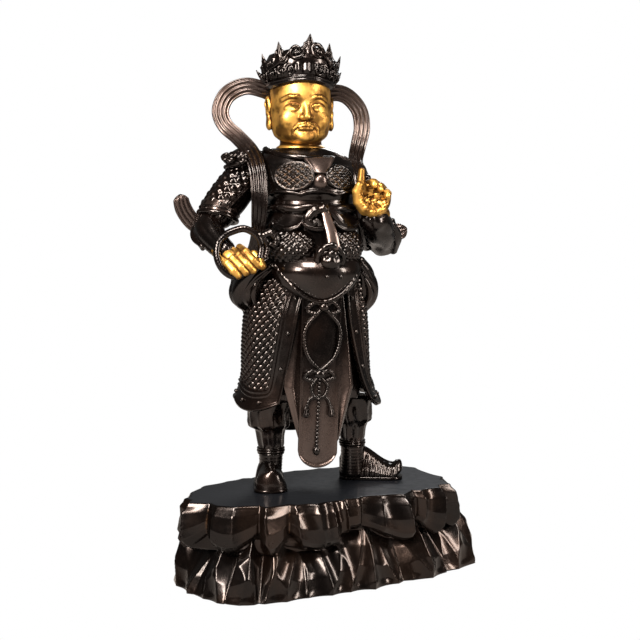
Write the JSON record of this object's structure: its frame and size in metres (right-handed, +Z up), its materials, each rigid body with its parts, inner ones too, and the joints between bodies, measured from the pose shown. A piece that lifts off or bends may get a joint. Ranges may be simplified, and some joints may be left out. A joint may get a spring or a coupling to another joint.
{
  "type": "lokapala figure",
  "caption": "Cast bronze guardian king in armour with gilded head and hands, standing on its own faceted rock plinth, a tabletop statue.",
  "frame": {"origin": "middle of the ground that the plinth covers, on its flat underside", "axes": "+Z up, the figure faces -Y, its left hand is towards +X; the rock's long axis is turned 16 degrees from X"},
  "size_m": [0.3098, 0.1868, 0.5133],
  "materials": {
    "patinated_bronze": "glossy dark brown patinated cast bronze",
    "gilt_bronze": "cold-gilded, satin gloss, darker in the hollows",
    "plinth_bronze": "glossy near-black patinated cast bronze"
  },
  "bodies": {
    "root": {"figure": "patinated_bronze", "rock_plinth": "plinth_bronze"}
  },
  "joints": []
}
